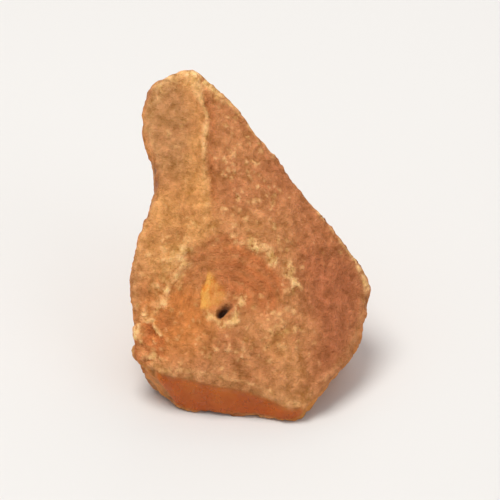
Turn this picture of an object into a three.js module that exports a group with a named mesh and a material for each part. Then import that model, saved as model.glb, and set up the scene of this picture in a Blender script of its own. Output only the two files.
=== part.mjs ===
// A raw amber nugget: one solid lump of fossil resin, broken on all sides and softly worn.
//
// It is built in its own "face frame": +Z points straight out of the broad front face, +Y runs up that
// face from the wide belly to the narrow neck, and +X runs across it. The finished lump is then leaned
// back until its flat break lies level, which is how it rests on a table.
//
// The shape is a formula: a block of break faces with worn edges, with shell-shaped hollows scooped out
// of it. A ball of triangles is shrunk onto the surface of that formula and evened out over it.
import * as THREE from "three";
import { mergeVertices } from "three/addons/utils/BufferGeometryUtils.js";

// Driving dimensions, in millimetres and degrees.
const LEAN = 36; // slope of the broad face above the table
const HEART_HEIGHT = 7.2; // height of the heart, the face frame's origin, above the table
const EDGE_WEAR = 0.28; // how far the edges between the break faces are worn back
const HOLLOW_WEAR = 0.6; // the same, where a hollow meets the surface
const WAVINESS = 0.22; // height of the slow swells that keep the faces from being true planes

// Break faces: [turn, tip, distance from the heart]. Turn is the compass direction across the broad face,
// 0 to the right and 90 towards the neck. Tip is 90 straight out of the face and -90 straight back.
const BREAK_FACES = [
  [180, 82, 7.9], // left side of the neck, from the left edge to the ridge
  [15, 73, 6.7], // right side of the neck, from the ridge down to the right edge
  [200, 80, 8.1], // left of the belly
  [300, 82, 7.5], // middle of the belly
  [350, 62, 9.3], // right of the belly, rolling over to the right edge
  [300, 64, 11.2], // lower belly, rolling over to the rim
  [178, -20, 10.6], // left wall
  [111, -25, 22.0], // end of the neck
  [54, -8, 15.8], // corner between the end of the neck and the long edge
  [40, -18, 10.1], // long right edge
  [18, -8, 12.8], // right wall
  [344, -14, 13.0], // right wall, lower
  [318, -20, 12.8], // lower right corner
  [259, 37, 14.5], // glossy break under the rim
  [225, 0, 16.0], // lower left corner
  [92, -62, 10.5], // back of the neck
  [150, -50, 11.6], // back, left
  [25, -52, 8.5], // back, right
];

// Shell-shaped hollows: [x, y, z, radius] of the ball that each one follows.
const HOLLOWS = [
  [-19.9, 11.5, 6.0, 9.0], // waist on the left of the neck
  [-2.5, -1.5, 26.2, 20.0], // shallow dish in the belly
  [-5.2, 14.5, -13.8, 10.0], // back of the neck
  [20.4, -4.0, -6.0, 9.0], // right wall
];

// The net of triangles.
const GRID = 17; // subdivisions of the icosahedron that is shrunk onto the surface
const START_SIZE = new THREE.Vector3(14, 22, 12); // radii of the ball that it starts from
const START_CENTRE = new THREE.Vector3(0, 4, 0);
const EVENING_ROUNDS = 120;
const SLOPE_STEP = 0.02; // how far apart two samples of the formula are when its slope is taken

const radians = THREE.MathUtils.degToRad;
const tableDirection = new THREE.Vector3(0, -Math.sin(radians(LEAN)), -Math.cos(radians(LEAN)));

function outward(turn, tip) {
  const across = Math.cos(radians(tip));
  return new THREE.Vector3(
    across * Math.cos(radians(turn)),
    across * Math.sin(radians(turn)),
    Math.sin(radians(tip)),
  );
}

const breakFaces = BREAK_FACES.map(([turn, tip, distance]) => ({ normal: outward(turn, tip), distance }));
const hollows = HOLLOWS.map(([x, y, z, radius]) => ({ centre: new THREE.Vector3(x, y, z), radius }));

// The larger of the heights, rounded off where several are nearly the same.
function smoothMax(heights, reach) {
  const top = Math.max(...heights);
  return top + reach * Math.log(heights.reduce((sum, h) => sum + Math.exp((h - top) / reach), 0));
}

// Slow swells through space, from -1 to 1.
function swell({ x, y, z }) {
  return (
    Math.sin(0.41 * x + 0.23 * y + 1.1) * Math.sin(0.37 * y - 0.29 * z + 0.4) * 0.6 +
    Math.sin(0.83 * z + 0.52 * x + 2.0) * Math.sin(0.61 * y + 0.34 * x) * 0.4
  );
}

// How far a point lies outside the nugget, in millimetres, and negative inside.
function heightAbove(point) {
  const block = smoothMax(
    breakFaces.map(({ normal, distance }) => normal.dot(point) - distance),
    EDGE_WEAR,
  );
  const scooped = smoothMax(
    [block, ...hollows.map(({ centre, radius }) => radius - centre.distanceTo(point))],
    HOLLOW_WEAR,
  );
  const table = tableDirection.dot(point) - HEART_HEIGHT;
  return smoothMax([scooped + WAVINESS * swell(point), table], EDGE_WEAR);
}

// Moves a point straight onto the surface.
function settle(point) {
  const height = heightAbove(point);
  const slope = new THREE.Vector3(
    heightAbove(point.clone().setX(point.x + SLOPE_STEP)) - height,
    heightAbove(point.clone().setY(point.y + SLOPE_STEP)) - height,
    heightAbove(point.clone().setZ(point.z + SLOPE_STEP)) - height,
  ).divideScalar(SLOPE_STEP);
  return point.addScaledVector(slope, -height / Math.max(slope.lengthSq(), 0.3));
}

// For each vertex, the vertices that share an edge with it.
function neighbours(geometry) {
  const near = Array.from({ length: geometry.attributes.position.count }, () => new Set());
  const corners = geometry.index.array;
  for (let i = 0; i < corners.length; i += 3)
    for (let k = 0; k < 3; k++) {
      near[corners[i + k]].add(corners[i + ((k + 1) % 3)]);
      near[corners[i + k]].add(corners[i + ((k + 2) % 3)]);
    }
  return near.map((set) => [...set]);
}

// A point pulled towards its neighbours, most of all towards the far ones.
function pulled(point, ring) {
  const sum = new THREE.Vector3();
  let total = 0;
  for (const other of ring) {
    const weight = point.distanceToSquared(other);
    sum.addScaledVector(other, weight);
    total += weight;
  }
  return point.clone().lerp(sum.divideScalar(total), 0.5);
}

function nuggetGeometry() {
  const ball = new THREE.IcosahedronGeometry(1, GRID);
  ball.deleteAttribute("normal");
  ball.deleteAttribute("uv");
  const geometry = mergeVertices(ball);
  const position = geometry.attributes.position;
  const near = neighbours(geometry);
  let points = near.map((_, i) =>
    new THREE.Vector3().fromBufferAttribute(position, i).multiply(START_SIZE).add(START_CENTRE),
  );
  for (let round = 0; round < EVENING_ROUNDS; round++) {
    points.forEach(settle);
    points = points.map((point, i) => pulled(point, near[i].map((j) => points[j])));
  }
  points.forEach(settle);
  points.forEach(settle);
  points.forEach(({ x, y, z }, i) => position.setXYZ(i, x, y, z));
  return geometry;
}

// Leans the lump back onto its flat break and puts the origin under the middle of its footprint.
function restOnTable(geometry) {
  geometry.rotateX(radians(LEAN));
  geometry.computeBoundingBox();
  const middle = geometry.boundingBox.getCenter(new THREE.Vector3());
  geometry.translate(-middle.x, -middle.y, HEART_HEIGHT);
  geometry.computeVertexNormals();
  return geometry;
}

const amber = new THREE.MeshStandardMaterial({ color: 0xc2824f, roughness: 0.55, metalness: 0 });

const nugget = new THREE.Mesh(restOnTable(nuggetGeometry()), amber);
nugget.name = "amber_nugget";

const part = new THREE.Group();
part.add(nugget);

export default part;
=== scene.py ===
"""A raw amber nugget: a lump of fossil resin with a weathered, waxy crust, resting on a pale table.

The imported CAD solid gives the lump's shape. Here it gets a finer mesh, sculpted by formulas, and a material
whose masks come from the same formulas. Lengths are in millimetres until they go into the Blender mesh.

The lump's "face frame" is the one that its shape is described in: X across the broad front face, Y up that
face from the wide belly to the narrow neck, Z straight out of it. It is leaned back by LEAN on the table.
"""
import math

import bmesh
import bpy
import numpy as np
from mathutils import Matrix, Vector, noise


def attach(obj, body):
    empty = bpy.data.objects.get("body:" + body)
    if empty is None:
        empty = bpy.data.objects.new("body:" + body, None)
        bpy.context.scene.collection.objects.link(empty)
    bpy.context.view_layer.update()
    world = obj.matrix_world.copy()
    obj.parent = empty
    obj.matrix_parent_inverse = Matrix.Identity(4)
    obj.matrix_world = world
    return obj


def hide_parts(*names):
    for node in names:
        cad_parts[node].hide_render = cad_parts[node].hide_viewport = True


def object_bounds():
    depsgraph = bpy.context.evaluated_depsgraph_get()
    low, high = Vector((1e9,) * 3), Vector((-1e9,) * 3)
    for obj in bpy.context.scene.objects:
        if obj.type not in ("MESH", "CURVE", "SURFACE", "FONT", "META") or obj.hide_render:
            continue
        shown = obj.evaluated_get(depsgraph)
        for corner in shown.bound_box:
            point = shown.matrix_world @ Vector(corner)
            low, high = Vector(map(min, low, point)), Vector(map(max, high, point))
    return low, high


noise.seed_set(1)  # else noise_vector starts from the clock, and the grains differ from run to run
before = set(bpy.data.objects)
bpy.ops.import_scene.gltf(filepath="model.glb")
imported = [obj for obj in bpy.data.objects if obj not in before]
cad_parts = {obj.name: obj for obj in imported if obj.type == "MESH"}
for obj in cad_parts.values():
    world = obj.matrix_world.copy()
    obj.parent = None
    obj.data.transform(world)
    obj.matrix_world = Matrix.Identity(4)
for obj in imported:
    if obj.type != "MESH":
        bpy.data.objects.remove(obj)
cad_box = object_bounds()

MM = 0.001
LEAN = math.radians(36)  # slope of the broad front face above the table
low, high = (np.array(corner) / MM for corner in cad_box)
HEART = low + (13.38, 15.43, 7.2)  # the face frame's origin, in the row frame

# Places on the front face, as (X, Y) in the face frame.
DISH = (-2.6, -1.6)
PIT = (-2.95, -4.35)
FLAME_TOP = (-4.5, 1.0)
FLAME_HEIGHT = 5.0
CRUMBLED_CORNER = (-11.6, -8.0)
BITE = (1.6, -15.3)

# The broken lip round the dish, in stretches. Each has the points that it runs through, its width, its
# raggedness, and its height where it is whole and what is added to that where it crumbles into pale grains.
LIP = [
    ([(-7.4, 2.6), (-8.9, -0.9), (-10.5, -3.8)], 1.4, 0.5, 0.30, 0.50),
    ([(0.1, 3.7), (1.8, 2.8), (2.6, 1.4)], 0.9, 0.3, 0.60, 0.40),
    ([(4.4, 0.8), (5.1, -1.4)], 1.3, 0.5, 0.0, 0.70),
    ([(4.4, -5.0), (2.9, -8.6)], 1.4, 0.8, 0.0, 0.35),
]
# The pale rim of the pit, in the same way, but without the crumbling.
PIT_RIM = [
    ([(-4.6, -4.7), (-3.2, -6.3), (-1.7, -5.7)], 0.7, 0.45, 0.7),
    ([(-1.7, -5.7), (-1.5, -4.0), (-0.8, -2.7)], 0.6, 0.25, 1.0),
]

# The glossy break under the front rim: the turn and tip of the direction it faces, and how far out it lies.
GLOSSY_BREAK = (259, 37)
GLOSSY_DISTANCE = 14.5

# The shell-shaped hollows outside the front face, in the face frame: the ball's centre and radius, the point
# of the blow, and how fresh the break is, from 0 for crusted over to 1 for bare amber.
SCARS = [
    ((-19.9, 11.5, 6.0), 9.0, (-12.0, 16.5, 4.0), 0.0),
    ((-5.2, 14.5, -13.8), 10.0, (-9.5, 19.0, -3.0), 1.0),
]


# ---------------------------------------------------------------- the fine mesh
def fine_mesh(source, levels):
    """A smooth, finer copy of a mesh, as a new object."""
    mesh = source.data.copy()
    work = bmesh.new()
    work.from_mesh(mesh)
    bmesh.ops.remove_doubles(work, verts=work.verts, dist=0.002 * MM)
    work.to_mesh(mesh)
    work.free()
    rough = bpy.data.objects.new("rough", mesh)
    bpy.context.scene.collection.objects.link(rough)
    divide = rough.modifiers.new("divide", "SUBSURF")
    divide.levels = divide.render_levels = levels
    graph = bpy.context.evaluated_depsgraph_get()
    smooth = bpy.data.meshes.new_from_object(rough.evaluated_get(graph))
    bpy.data.objects.remove(rough)
    smooth.materials.clear()
    smooth.shade_smooth()
    piece = bpy.data.objects.new("amber_crust", smooth)
    bpy.context.scene.collection.objects.link(piece)
    return piece


def read(mesh, what):
    """One vector for each vertex: its place for "co", its direction for "normal"."""
    values = np.zeros(len(mesh.vertices) * 3, np.float32)
    mesh.vertices.foreach_get(what, values)
    return values.reshape(-1, 3).astype(float)


def place(mesh, points):
    """Moves the vertices to these points, given in millimetres."""
    mesh.vertices.foreach_set("co", (points * MM).astype(np.float32).ravel())
    mesh.update()


def to_face(points):
    """Row-frame points in the face frame."""
    x, y, z = (points - HEART).T
    up_the_face = y * math.cos(LEAN) + z * math.sin(LEAN)
    out_of_the_face = z * math.cos(LEAN) - y * math.sin(LEAN)
    return np.stack([x, up_the_face, out_of_the_face], 1)


def evened(mesh, values, rounds):
    """Values averaged again and again with those of the neighbouring vertices."""
    ends = np.zeros(len(mesh.edges) * 2, np.int32)
    mesh.edges.foreach_get("vertices", ends)
    a, b = ends.reshape(-1, 2).T
    count = np.bincount(np.r_[a, b], minlength=len(mesh.vertices))
    values = values.copy().reshape(len(mesh.vertices), -1)
    for _ in range(rounds):
        for k in range(values.shape[1]):
            v = values[:, k]
            total = np.bincount(np.r_[a, b], np.r_[v[b], v[a]], len(mesh.vertices))
            values[:, k] = 0.5 * v + 0.5 * total / count
    return values.squeeze()


# ---------------------------------------------------------------- shapes for the formulas
def hump(distance, reach):
    """1 where distance is 0, falling smoothly to 0 at reach."""
    t = np.clip(1 - np.abs(distance) / reach, 0, 1)
    return t * t * (3 - 2 * t)


def rise(value, start, end):
    """0 below start, 1 above end, and smooth between."""
    t = np.clip((value - start) / (end - start), 0, 1)
    return t * t * (3 - 2 * t)


def swells(points, size, seed):
    """Smooth noise from about -1 to 1, with lumps about size millimetres across."""
    shift = Vector((seed * 17.3, seed * 5.1, seed * 29.7))
    return np.array([noise.noise(Vector(p) / size + shift) for p in points]) * 1.6


def flakes(points, size, seed):
    """Small flat breaks about size millimetres across, each tilted its own way, from about -1 to 1."""
    shift = Vector((seed * 3.1, seed * 9.7, seed * 11.3))
    heights = []
    for p in points:
        spot = Vector(p) / size + shift
        middle = noise.voronoi(spot)[1][0]
        tilt = noise.cell_vector(middle * 9.0) - Vector((0.5, 0.5, 0.5))
        heights.append(2.5 * tilt.dot(spot - middle))
    return np.array(heights)


def specks(points, size, seed, share):
    """Ragged grains in a random share of cells about size millimetres across: 1 at the middle of each."""
    shift = Vector((seed * 3.7, seed * 8.3, seed * 6.1))
    heights = []
    for p, chance in zip(points, np.broadcast_to(share, len(points))):
        spot = Vector(p) / size + shift
        near, middle = noise.voronoi(spot + 0.2 * noise.noise_vector(spot * 2.3))
        chosen = chance - noise.cell_vector(middle[0] * 9.0).x
        heights.append(max(0.0, 1 - near[0] / 0.42) * min(1.0, max(0.0, chosen * 8)))
    return np.sqrt(heights)


def facing(turn, tip):
    """The direction of a break face in the face frame: its turn across the face and its tip out of it."""
    turn, tip = math.radians(turn), math.radians(tip)
    return np.array([math.cos(tip) * math.cos(turn), math.cos(tip) * math.sin(turn), math.sin(tip)])


def from_line(places, points):
    """How far each place is from the line through points, which is made of straight stretches."""
    nearest = np.full(len(places), np.inf)
    for start, end in zip(np.array(points[:-1]), np.array(points[1:])):
        run = np.clip((places - start) @ (end - start) / ((end - start) @ (end - start)), 0, 1)
        away_from_it = places - start - run[:, None] * (end - start)
        nearest = np.minimum(nearest, np.hypot(*away_from_it.T))
    return nearest


# ---------------------------------------------------------------- sculpting
nugget = fine_mesh(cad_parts["amber_nugget"], levels=2)
mesh = nugget.data
spot = read(mesh, "co") / MM
normal = read(mesh, "normal")
face = to_face(spot)
X, Y, Z = face.T
out_of_face = normal @ np.array([0, -math.sin(LEAN), math.cos(LEAN)])  # 1 where it faces straight out
front = rise(out_of_face, 0.66, 0.84)
ragged = swells(spot, 1.2, 37)


def oval(x, y, tall=1.0):
    """Distance over the front face from (x, y), where lengths up the face count tall times less."""
    return np.hypot(X - x, (Y - y) / tall)


# Edges are sharpened a little: they were broken, and only softly worn since.
relief = ((spot - evened(mesh, spot, 40)) * normal).sum(1)
edge = rise(relief, 0.02, 0.12)

# The glossy break under the rim, and the rim itself. Both end where the lump's right side begins.
gap = GLOSSY_DISTANCE - face @ facing(*GLOSSY_BREAK)
not_right = 1 - rise(X, 5.0, 8.0)
band = (1 - rise(gap, 0.5, 0.9)) * (1 - front) * not_right * rise(normal[:, 2], -0.6, -0.3)
# The rim: a raised line, whose pale colour is a painted highlight.
rim = hump(gap - 0.66, 0.20) * rise(relief, 0.0, 0.06) * not_right * (0.6 + 0.4 * swells(spot, 1.6, 25))

# The ridge down the neck: a soft crest between two faces, steeper on its right.
ridge_x = -5.0 - 0.35 * hump(Y - 14.5, 4.0) - 1.4 * rise(Y, 19.0, 24.5) + 0.12 * swells(spot, 2.5, 11)
past_ridge = X - ridge_x
ridge_run = rise(Y, 4.5, 9.5) * front
ridge = hump(past_ridge, 1.1) * ridge_run
flank = hump(past_ridge - 0.75, 0.7) * ridge_run * rise(Y, 6.0, 11.0)
step = rise(past_ridge, 0.0, 1.1) * (1 - rise(past_ridge, 1.5, 7.0)) * ridge_run

# The dish in the belly, with shell-like ripples round the pit, inside a broken pale lip.
wander = 0.6 * swells(spot, 4.5, 1) + 0.25 * swells(spot, 1.6, 12)
ring = np.hypot((X - DISH[0]) / 1.05, Y - DISH[1]) + wander
dish = (1 - rise(ring, 5.4, 7.0)) * front
bowl = (1 - rise(ring, 0.0, 7.0)) * front
ripple = np.sin(oval(*PIT) * 4.6 + 1.6 * wander) * rise(oval(*PIT), 1.5, 3.0)
crumbled = rise(swells(spot, 1.1, 2), -0.25, 0.25)
lip = np.zeros(len(spot))
for points, width, wobble, whole, crumbs in LIP:
    stretch = hump(from_line(face[:, :2], points) + wobble * ragged, width)
    lip += stretch * (whole + crumbs * crumbled) * front

# The pit, a slit that leans to the right, and its pale rim.
along = (X - PIT[0]) * 0.60 + (Y - PIT[1]) * 0.80
across = (X - PIT[0]) * 0.80 - (Y - PIT[1]) * 0.60
pit = hump(np.hypot(along / 1.4, across / 0.70) + 0.2 * swells(spot, 0.9, 34), 1.0) * front
pit_rim = np.zeros(len(spot))
for points, width, wobble, height in PIT_RIM:
    pit_rim += height * hump(from_line(face[:, :2], points) + wobble * ragged, width)
pit_rim = np.clip(pit_rim, 0, 1) * (1 - pit) * front

# The flame-shaped flake scar above the pit, between a crisp left side and a soft right one.
down = (FLAME_TOP[1] - Y) / FLAME_HEIGHT
past_left = X - FLAME_TOP[0] + 0.10 + 0.9 * rise(down, 0.0, 0.7) + 0.1 * swells(spot, 0.9, 21)
past_right = X - FLAME_TOP[0] - 1.9 * rise(down, 0.0, 0.6) + 0.9 * rise(down, 0.6, 1.1)
past_right += 0.25 * swells(spot, 0.7, 22)
flame = rise(past_left, -0.1, 0.1) * (1 - rise(past_right, -0.9, 0.3))
flame *= rise(down, 0.0, 0.08) * (1 - rise(down, 0.9, 1.1)) * front

# The crumbled corner at the lower left, and a bite out of the rim at the lower right.
corner = hump(oval(*CRUMBLED_CORNER, 4 / 3), 3.8) * rise(Z, -3, 0)
splinters = flakes(spot, 1.5, 5)
bite = hump(oval(*BITE, 3 / 7), 2.8) * rise(Z, 0, 2)

# Shell-shaped breaks: inside each hollow, ripples that spread and widen from the point of the blow.
away = (1 - rise(out_of_face, 0.35, 0.66)) * (1 - band)
scars = np.zeros(len(spot))
arcs = np.zeros(len(spot))
broken_edge = np.zeros(len(spot))
for centre, radius, blow, freshness in SCARS:
    depth = np.linalg.norm(face - centre, axis=1) - radius
    depth += 0.28 * swells(spot, 3.0, 28) + 0.10 * swells(spot, 0.9, 33)
    inside = (1 - rise(depth, 0.27, 0.50)) * away
    spread = np.maximum(np.linalg.norm(face - blow, axis=1) + 0.3 * wander, 0)
    scars = np.maximum(scars, inside * freshness)
    arcs += inside * (1 - 2 * np.abs(np.sin(7.0 * np.sqrt(spread)))) * rise(spread, 0.5, 1.5)
    broken_edge = np.maximum(broken_edge, hump(depth - 0.56, 0.18) * away * crumbled * freshness)

# Each feature's height out of the smooth lump, or its depth into it, in millimetres.
chipped = (1 - rise(out_of_face, -0.35, 0.05)) * (1 - band) * (1 - scars)
flaked = (0.06 + 0.10 * edge * (1 - rise(out_of_face, 0.0, 0.3))) * (1 - band) * (1 - 0.6 * dish)
band_ripple = np.sin(np.hypot(X + 11.0, Z - 5.0) * 2.6 + 2.0 * wander)
big = (
    0.70 * relief
    + 0.16 * swells(spot, 6.5, 3)
    + 0.10 * swells(spot, 3.2, 4)
    + 0.14 * ridge
    - 0.06 * flank
    - 0.34 * step
    - 0.22 * dish
    - 0.35 * bowl
    + 0.07 * dish * ripple
    + 0.05 * band * band_ripple
    + 0.20 * lip
    - 0.14 * flame
    + 0.45 * corner * (splinters - 0.4)
    - 0.35 * bite
    + 0.12 * arcs * (1 + 0.5 * scars)
    - 0.20 * scars
    + 0.08 * rim * swells(spot, 1.5, 13)
    + chipped * (0.30 * flakes(spot, 5.5, 29) + 0.12 * flakes(spot, 3.0, 30))
    + (1 - band) * 0.06 * flakes(spot, 3.6, 26)
    + flaked * flakes(spot, 2.2, 14)
)
calm = 1 - rise(-normal[:, 2], 0.8, 0.95)  # 0 on the flat break that it rests on, which stays flat
spot = spot + normal * (big * calm)[:, None]
place(mesh, spot)
normal = read(mesh, "normal")

# Regions of the crust: the smoother right of the belly, the painted shadow on the right of the ridge and the
# light crest on its left, a painted highlight along the long right edge, and the rosy left side of the neck.
soft_front = evened(mesh, front, 120)
to_right = X + 0.35 * np.maximum(Y, 0) + 0.1 * np.minimum(Y, 0) + 0.8 * swells(spot, 4.0, 38)
right = rise(to_right, 4.0, 8.5) * (1 - 0.4 * rise(Y, 0.0, 6.0)) * soft_front
# Painted shadow on the steep right side of the ridge.
ridge_shadow = rise(past_ridge, 0.2, 1.2) * (1 - rise(past_ridge, 3.0, 6.0)) * ridge_run
crest = hump(past_ridge + 1.3, 2.4) * rise(Y, 4.0, 8.0) * (1 - 0.4 * rise(Y, 15.0, 19.0)) * front
# A painted highlight along the long right edge, where it catches the light.
long_edge = rise(out_of_face, 0.40, 0.55) * (1 - rise(out_of_face, 0.85, 0.95)) * rise(X + Y, 11.0, 14.0)
edge_highlight = edge * long_edge * (0.35 + 0.65 * crumbled)
rosy = rise(-past_ridge, 0.5, 3.0) * rise(Y, 9.0, 14.0) * front

# Pale grains, thickest right of the ridge, round the dish and on the lip, and scattered pocks.
speckled = 0.7 * hump(oval(0.5, 12.0, 1.6), 7.0) * rise(Y, 3.0, 9.0) + 0.35 * hump(ring - 7.4, 3.0)
speckled += 0.8 * hump(oval(-9.3, 1.5, 2.5), 3.0) + 0.8 * lip
dusty = np.clip(0.09 + 0.50 * speckled * front + 0.10 * swells(spot, 3.5, 20), 0.03, 0.70)
dusty *= 1 - 0.75 * right
grains = np.maximum(specks(spot, 0.85, 15, dusty), 0.8 * specks(spot, 0.6, 23, dusty))
pocks = specks(spot, 1.5, 24, 0.06 + 0.1 * (1 - front)) * (1 - grains)

# The crust's own relief: small angular chips, grains and cracks, softer on the glossy breaks.
drawn = swells(face * (1.0, 0.22, 1.0), 0.8, 35)  # fine streaks that run down the face
lumps = (
    0.50 * swells(spot, 2.0, 6)
    + 0.60 * drawn * np.clip(right + rise(-Y, 6.0, 10.0) * front, 0, 1)
    + 0.55 * flakes(spot, 1.6, 8)
    + 0.45 * flakes(spot, 0.9, 9)
    + 0.40 * swells(spot, 0.9, 7)
    + 0.20 * swells(spot, 0.45, 10)
)
crust = 1 - 0.92 * np.clip(band + 0.6 * flame + scars, 0, 1)
rugged = crust * (1 - 0.35 * right) * (1 - 0.4 * rosy) * (1 - 0.6 * dish)
cracks = hump(swells(spot, 3.2, 31), 0.06) * rise(swells(spot, 5.5, 32), 0.0, 0.3) * away
small = rugged * (0.15 * lumps + 0.09 * grains - 0.10 * pocks - 0.16 * cracks)
small += 0.06 * pit_rim - 1.4 * pit
spot = spot + normal * (small * calm)[:, None]
spot[:, 2] = np.maximum(spot[:, 2], 0)
place(mesh, spot)

# ---------------------------------------------------------------- masks for the material
tip = rise(Y + 0.3 * X, 20.0, 22.5) * front
left_waist = (1 - rise(oval(-8.3, 5.5, 1.6), 2.0, 7.0)) * (1 - 0.7 * dish) * front
sandy = left_waist + 1.2 * tip + crest + 0.6 * hump(oval(3.0, -8.8), 2.6)
# Painted shade: the right of the belly, the right side of the ridge and a spot on the dish's lower right
# wall.
shade = right + 0.3 * ridge_shadow + 0.35 * hump(oval(2.0, -5.0), 2.8)
# Painted shade along the far right edge of the face.
far_right_shade = rise(X, 8.0, 11.0) * (1 - rise(Y, 2.0, 7.0)) * soft_front
# A painted highlight: a pale line down the ridge's crest.
ridge_highlight = hump(past_ridge, 0.5 + 0.7 * rise(Y, 20.0, 24.0)) * ridge_run
ridge_highlight *= (0.35 + 0.65 * rise(Y, 12.0, 20.0)) * (0.75 + 0.4 * swells(spot, 1.4, 27))
# The dish is reddish; its stronger red towards its right is painted shade.
red = dish * rise(Y + 0.5 * X, -6.0, -2.5) * (0.5 + 0.5 * rise(X, -6.0, 0.0)) * (0.8 + 0.2 * ripple)
red += 1.6 * corner * rise(-splinters, -0.2, 0.2) + 0.5 * flank
# Pale: the lip, the pit's rim, corner splinters, raised and broken edges, and painted highlights on the rim
# line, the long right edge and the ridge's crest.
pale = lip + 0.8 * edge_highlight + 0.8 * ridge_highlight + 0.85 * pit_rim + corner * rise(splinters, 0.3, 0.6)
pale += 0.5 * rim + 0.15 * edge * front + 0.7 * broken_edge
# Dark: cracks and pocks, and painted shade in the pit and along the far right edge.
dark = 2.0 * pit + 0.25 * pocks + 0.4 * cracks * crust + 0.09 * far_right_shade
masks = {
    "fresh": np.clip(band + scars, 0, 1),
    "honey": scars,
    "worn": rise(relief, 0.08, 0.25) * away * (0.6 + 0.6 * swells(spot, 2.2, 36)),
    # Darker towards the table: painted shade where the glossy break meets it.
    "low": band * rise(-spot[:, 2], -4.5, 0.0),
    "away": away,
    "red": np.clip(red, 0, 1),
    "pale": np.clip(pale, 0, 1),
    "dark": np.clip(dark, 0, 1),
    "shade": np.clip(shade, 0, 1),
    "golden": flame * (1 - 0.5 * rise(past_left, 0.3, 1.4)),
    "orange": (1 - rise(oval(-8.5, -5.5), 2.0, 7.0)) * front,
    "sandy": np.clip(sandy, 0, 1),
    "rosy": rosy,
    "grains": grains * crust,
    # Lighter on the small lumps and darker in their hollows: partly the crust's own tone, partly painted
    # shade.
    "height": np.clip(0.5 + 0.4 * lumps * (1 - 0.5 * dish), 0, 1),
    "shells": np.clip(0.5 + 0.5 * arcs, 0, 1),
}
for name, values in masks.items():
    layer = mesh.attributes.new(name, "FLOAT", "POINT")
    layer.data.foreach_set("value", values.astype(np.float32))


# ---------------------------------------------------------------- the material
class Nodes:
    """Small helpers for building a node tree."""

    def __init__(self, tree):
        self.tree = tree
        self.place = self.add("ShaderNodeTexCoord").outputs["Object"]

    def add(self, kind, inputs=None, **settings):
        made = self.tree.nodes.new(kind)
        for key, value in settings.items():
            setattr(made, key, value)
        for key, value in (inputs or {}).items():
            self.join(value, made.inputs[key])
        return made

    def join(self, value, socket):
        if isinstance(value, bpy.types.NodeSocket):
            self.tree.links.new(value, socket)
        else:
            socket.default_value = value

    def mask(self, name):
        """One of the masks that the sculpting stored on the mesh."""
        return self.add("ShaderNodeAttribute", attribute_name=name).outputs["Fac"]

    def maths(self, operation, *values):
        made = self.add("ShaderNodeMath", operation=operation)
        for socket, value in zip(made.inputs, values):
            self.join(value, socket)
        return made.outputs[0]

    def times(self, a, b):
        return self.maths("MULTIPLY", a, b)

    def total(self, start, *terms):
        """start plus each term's value times its weight."""
        for value, weight in terms:
            start = self.maths("MULTIPLY_ADD", value, weight, start)
        return start

    def turned(self, angles, scale):
        """The object's own coordinates, turned and then stretched."""
        made = self.add("ShaderNodeMapping", {"Vector": self.place, "Rotation": angles, "Scale": scale})
        return made.outputs[0]

    def granules(self, size):
        """A random value for each ragged granule about size millimetres across."""
        bend = self.add("ShaderNodeTexNoise", {"Vector": self.place, "Scale": 2500 / size, "Detail": 1.0})
        ragged = self.add(
            "ShaderNodeVectorMath",
            {0: bend.outputs["Color"], 1: (size * 0.0006,) * 3, 2: self.place},
            operation="MULTIPLY_ADD",
        )
        cells = self.add("ShaderNodeTexVoronoi", {"Vector": ragged.outputs[0], "Scale": 1000 / size})
        return self.add("ShaderNodeSeparateColor", {"Color": cells.outputs["Color"]}).outputs[0]

    def grain(self, size, detail=3.0, rough=0.55, place=None):
        """Noise with features about size millimetres across."""
        made = self.add(
            "ShaderNodeTexNoise",
            {"Vector": place or self.place, "Scale": 1000 / size, "Detail": detail, "Roughness": rough},
        )
        return made.outputs["Fac"]

    def ramp(self, value, start, end):
        """0 where value is at start, 1 where it is at end, and smooth between."""
        made = self.add("ShaderNodeMapRange", interpolation_type="SMOOTHSTEP")
        for socket, number in zip(made.inputs, (value, start, end, 0.0, 1.0)):
            self.join(number, socket)
        return made.outputs[0]

    def blend(self, share, a, b):
        """Colour a where share is 0, colour b where it is 1."""
        made = self.add("ShaderNodeMix", data_type="RGBA")
        self.join(share, made.inputs["Factor"])
        for socket, colour in ((made.inputs[6], a), (made.inputs[7], b)):
            self.join(colour if isinstance(colour, bpy.types.NodeSocket) else (*colour, 1), socket)
        return made.outputs[2]


PALE = (1.0, 0.59, 0.23)

# Patches of crust colour, each laid over the ones before it: the mask, its strength, and the linear colour.
PATCHES = [
    ("sandy", 0.9, (0.74, 0.325, 0.090)),
    ("orange", 0.8, (0.67, 0.205, 0.034)),
    ("rosy", 0.8, (0.54, 0.238, 0.078)),
    # The shade patch is painted shade.
    ("shade", 0.9, (0.46, 0.128, 0.039)),
]


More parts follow.
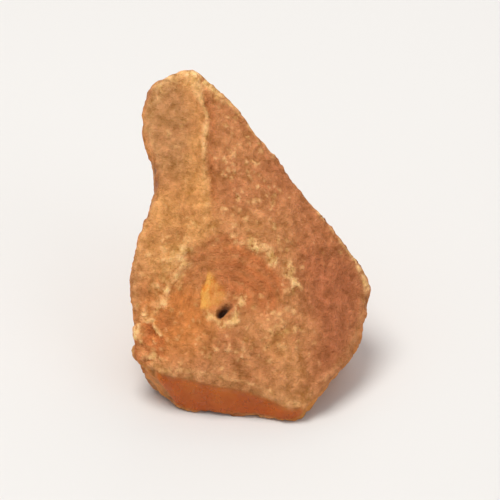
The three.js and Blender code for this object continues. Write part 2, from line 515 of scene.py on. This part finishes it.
def crust_colour(n, mask, broad, mottle, grit, streaks, sugar):
    """The weathered skin: patches of colour and painted shade, pale grains and chips with painted highlights,
    then a fine grain of light and dark that is partly painted shade.
    """
    colour = n.blend(n.ramp(broad, 0.36, 0.64), (0.55, 0.200, 0.062), (0.66, 0.270, 0.086))
    colour = n.blend(n.times(mask["away"], n.ramp(broad, 0.46, 0.56)), colour, (0.76, 0.275, 0.060))
    colour = n.blend(n.times(mask["away"], n.ramp(broad, 0.45, 0.36)), colour, (0.46, 0.130, 0.032))
    for name, strength, patch in PATCHES:
        colour = n.blend(n.times(mask[name], strength), colour, patch)
    colour = n.blend(n.times(n.ramp(mottle, 0.54, 0.36), 0.28), colour, (0.44, 0.130, 0.034))
    colour = n.blend(n.times(mask["red"], 0.75), colour, (0.55, 0.142, 0.028))
    colour = n.blend(n.times(mask["grains"], 0.65), colour, PALE)
    # The pale mask includes painted highlights.
    colour = n.blend(n.times(mask["pale"], n.ramp(streaks, 0.34, 0.50)), colour, PALE)
    # The grain follows height: hollows between the small lumps are darker, partly the crust's own tone and
    # partly painted shade.
    light = n.total(-0.62, (mask["height"], 0.65), (grit, 0.85), (streaks, 0.65), (sugar, 0.22))
    tint = n.blend(light, (0.52, 0.42, 0.04), (1.47, 1.57, 1.84))  # dark grain is deeper in colour as well
    colour = n.add("ShaderNodeVectorMath", {0: colour, 1: tint}, operation="MULTIPLY").outputs[0]
    return n.blend(n.times(mask["worn"], 0.7), colour, (0.95, 0.36, 0.045))


def glossy_colour(n, mask, mottle):
    """The glossy break under the rim: bare amber, darker and redder near the table as painted shade."""
    bare = n.blend(n.ramp(mottle, 0.40, 0.60), (0.86, 0.165, 0.0), (0.98, 0.225, 0.004))
    return n.blend(n.times(mask["low"], 0.6), bare, (0.70, 0.115, 0.0))


def honey_colour(n, mask, broad):
    """The bare hollow at the back: honey amber, lighter along its ripples."""
    bare = n.blend(n.ramp(broad, 0.38, 0.60), (0.92, 0.175, 0.0), (1.0, 0.32, 0.010))
    return n.blend(n.times(mask["shells"], 0.4), bare, (1.0, 0.48, 0.06))


def amber_material():
    """Amber that is see-through where it is bare, under a crust that lets little light in."""
    material = bpy.data.materials.new("raw_amber")
    material.use_nodes = True
    tree = material.node_tree
    tree.nodes.clear()
    n = Nodes(tree)
    mask = {name: n.mask(name) for name in masks}

    broad = n.grain(7.0)
    mottle = n.grain(3.0, 4.0)
    grit = n.grain(1.1, 4.0, 0.6)
    streaks = n.grain(0.70, 3.0, 0.6, n.turned((-LEAN, 0, 0.25), (1.0, 0.35, 1.0)))
    sugar = n.granules(0.40)

    colour = crust_colour(n, mask, broad, mottle, grit, streaks, sugar)
    colour = n.blend(mask["fresh"], colour, glossy_colour(n, mask, mottle))
    colour = n.blend(mask["honey"], colour, honey_colour(n, mask, broad))
    flame = n.blend(n.ramp(streaks, 0.38, 0.60), (0.92, 0.290, 0.030), (1.0, 0.47, 0.09))
    colour = n.blend(mask["golden"], colour, flame)
    # Dark: cracks and pocks, and painted shade in the pit and along the far right edge.
    colour = n.blend(mask["dark"], colour, (0.05, 0.014, 0.004))

    clear = n.total(0.10, (mask["worn"], 0.15), (mask["fresh"], 0.35), (mask["honey"], 0.05))
    rough = n.total(0.38, (grit, 0.30), (mask["fresh"], -0.25), (mask["honey"], -0.20))
    fine = n.total(n.grain(0.24, 3.0, 0.6), (streaks, 1.0), (sugar, 0.5))
    crust_only = n.total(1.0, (mask["fresh"], -0.85))
    bump = n.add(
        "ShaderNodeBump", {"Strength": 1.0, "Distance": 0.00026, "Height": n.times(fine, crust_only)}
    )

    shader = n.add(
        "ShaderNodeBsdfPrincipled",
        {
            "Base Color": colour,
            "Roughness": rough,
            "Normal": bump.outputs["Normal"],
            "IOR": 1.54,
            "Specular IOR Level": 0.22,
            "Transmission Weight": clear,
            "Subsurface Weight": 0.15,
            "Subsurface Radius": (1.0, 0.40, 0.12),
            "Subsurface Scale": 0.0006,
        },
    )
    inside = n.add("ShaderNodeVolumeAbsorption", {"Color": (0.90, 0.60, 0.0, 1), "Density": 300.0})
    out = n.add("ShaderNodeOutputMaterial")
    tree.links.new(shader.outputs[0], out.inputs["Surface"])
    tree.links.new(inside.outputs[0], out.inputs["Volume"])
    return material


mesh.materials.append(amber_material())
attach(nugget, "root")
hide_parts("amber_nugget")


# ---------------------------------------------------------------- table, light and camera
def plain(name, colour, roughness):
    """A material of one colour."""
    material = bpy.data.materials.new(name)
    material.use_nodes = True
    shader = material.node_tree.nodes["Principled BSDF"]
    shader.inputs["Base Color"].default_value = (*colour, 1)
    shader.inputs["Roughness"].default_value = roughness
    return material


bpy.ops.mesh.primitive_plane_add(size=4, location=(0, 0, 0))
table = bpy.context.object
table.name = "table"
table.data.materials.append(plain("pale_table", (0.73, 0.71, 0.68), 0.6))


def softbox(name, where, size, power, colour):
    """A round area light that points at the lump."""
    lamp = bpy.data.lights.new(name, "AREA")
    lamp.shape = "DISK"
    lamp.size = size
    lamp.energy = power
    lamp.color = colour
    holder = bpy.data.objects.new(name, lamp)
    holder.location = where
    holder.rotation_euler = (-Vector(where)).to_track_quat("-Z", "Y").to_euler()
    bpy.context.scene.collection.objects.link(holder)


softbox("key", (-0.12, 0.00, 0.50), 0.30, 1.95, (1.0, 0.985, 0.96))
softbox("front_fill", (0.40, -0.35, 0.30), 0.40, 0.4, (0.96, 0.98, 1.0))
softbox("back_fill", (0.15, 0.50, 0.30), 0.40, 0.5, (1.0, 0.98, 0.96))

world = bpy.data.worlds.new("room")
world.use_nodes = True
world.node_tree.nodes["Background"].inputs["Color"].default_value = (0.95, 0.96, 1.0, 1)
world.node_tree.nodes["Background"].inputs["Strength"].default_value = 0.52
bpy.context.scene.world = world
bpy.context.scene.view_settings.view_transform = "Standard"

ELEVATION = math.radians(32)
DISTANCE = 0.24
AIM = Vector((low + high) / 2 * MM) + Vector((-0.0002, -0.0004, -0.0013))  # just below the lump's middle
lens = bpy.data.cameras.new("camera")
lens.lens = 150
camera = bpy.data.objects.new("camera", lens)
camera.location = AIM + DISTANCE * Vector((0, -math.cos(ELEVATION), math.sin(ELEVATION)))
camera.rotation_euler = (math.pi / 2 - ELEVATION, 0, 0)
lens.clip_start = 0.01
bpy.context.scene.collection.objects.link(camera)
bpy.context.scene.camera = camera
